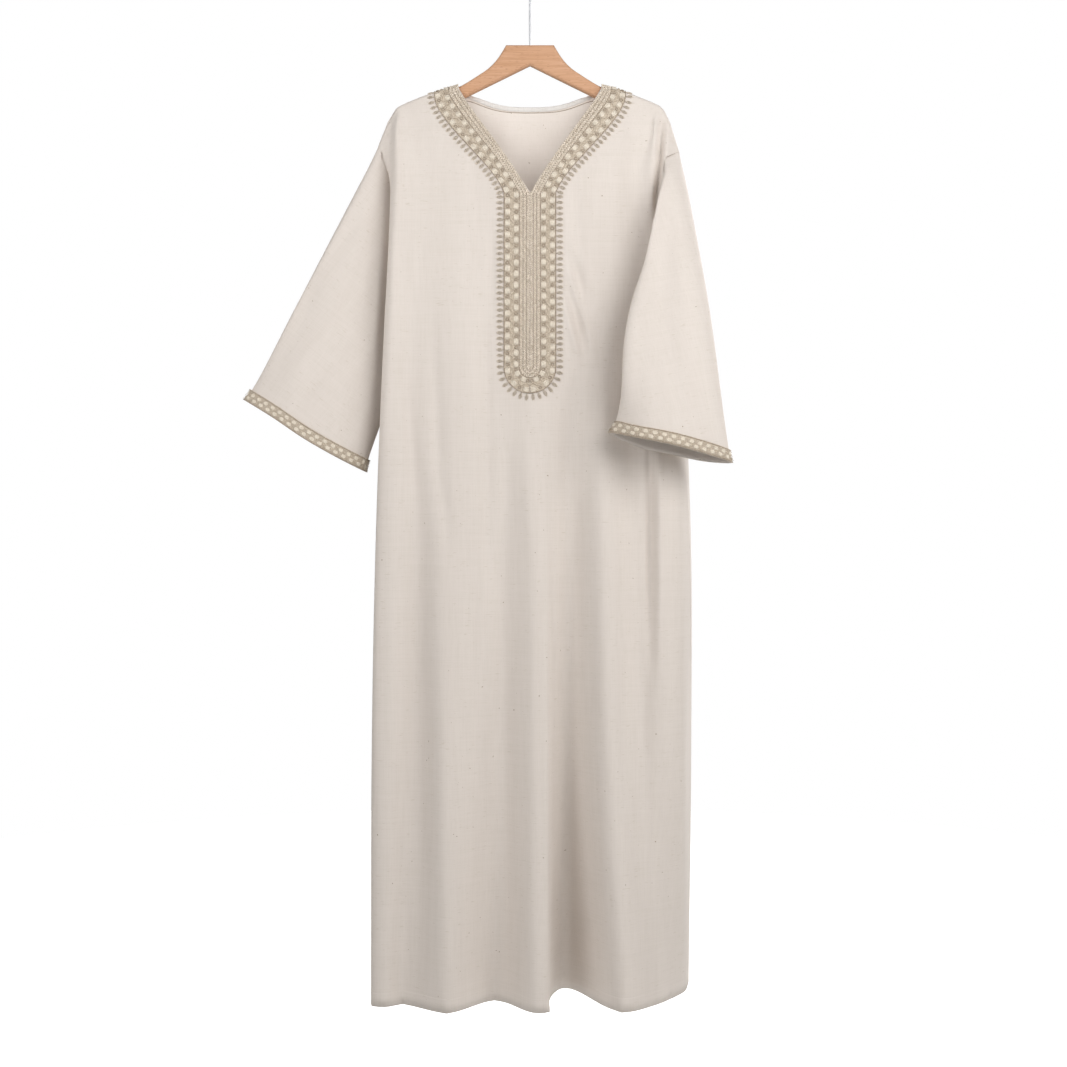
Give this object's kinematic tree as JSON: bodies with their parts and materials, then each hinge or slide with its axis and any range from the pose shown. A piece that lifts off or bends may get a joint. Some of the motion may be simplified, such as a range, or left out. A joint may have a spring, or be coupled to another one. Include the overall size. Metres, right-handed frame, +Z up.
{
  "type": "thobe on hanger",
  "caption": "Long oatmeal thobe with a V neck, an embroidered placket and wide three-quarter sleeves, hanging on a plain wooden hanger with a wire hook.",
  "frame": {"origin": "where a rail carries the hook, under the top of its bend", "axes": "+Z up, the garment's front faces -Y, and +X points to the wearer's left"},
  "size_m": [0.738, 0.246, 1.5953],
  "materials": {
    "oatmeal_cloth": "matt linen-like plain weave",
    "embroidered_trim": "matt with a faint thread sheen",
    "neck_binding": "matt",
    "beech_wood": "satin lacquer",
    "hook_steel": "bright plated wire"
  },
  "bodies": {
    "root": {"front_panel": "oatmeal_cloth", "back_panel": "oatmeal_cloth", "sleeve_right": "oatmeal_cloth", "sleeve_left": "oatmeal_cloth", "neck_trim": "embroidered_trim", "cuff_trim_right": "embroidered_trim", "cuff_trim_left": "embroidered_trim", "back_neck_binding": "neck_binding", "hanger_body": "beech_wood", "hanger_hook": "hook_steel"}
  },
  "joints": []
}
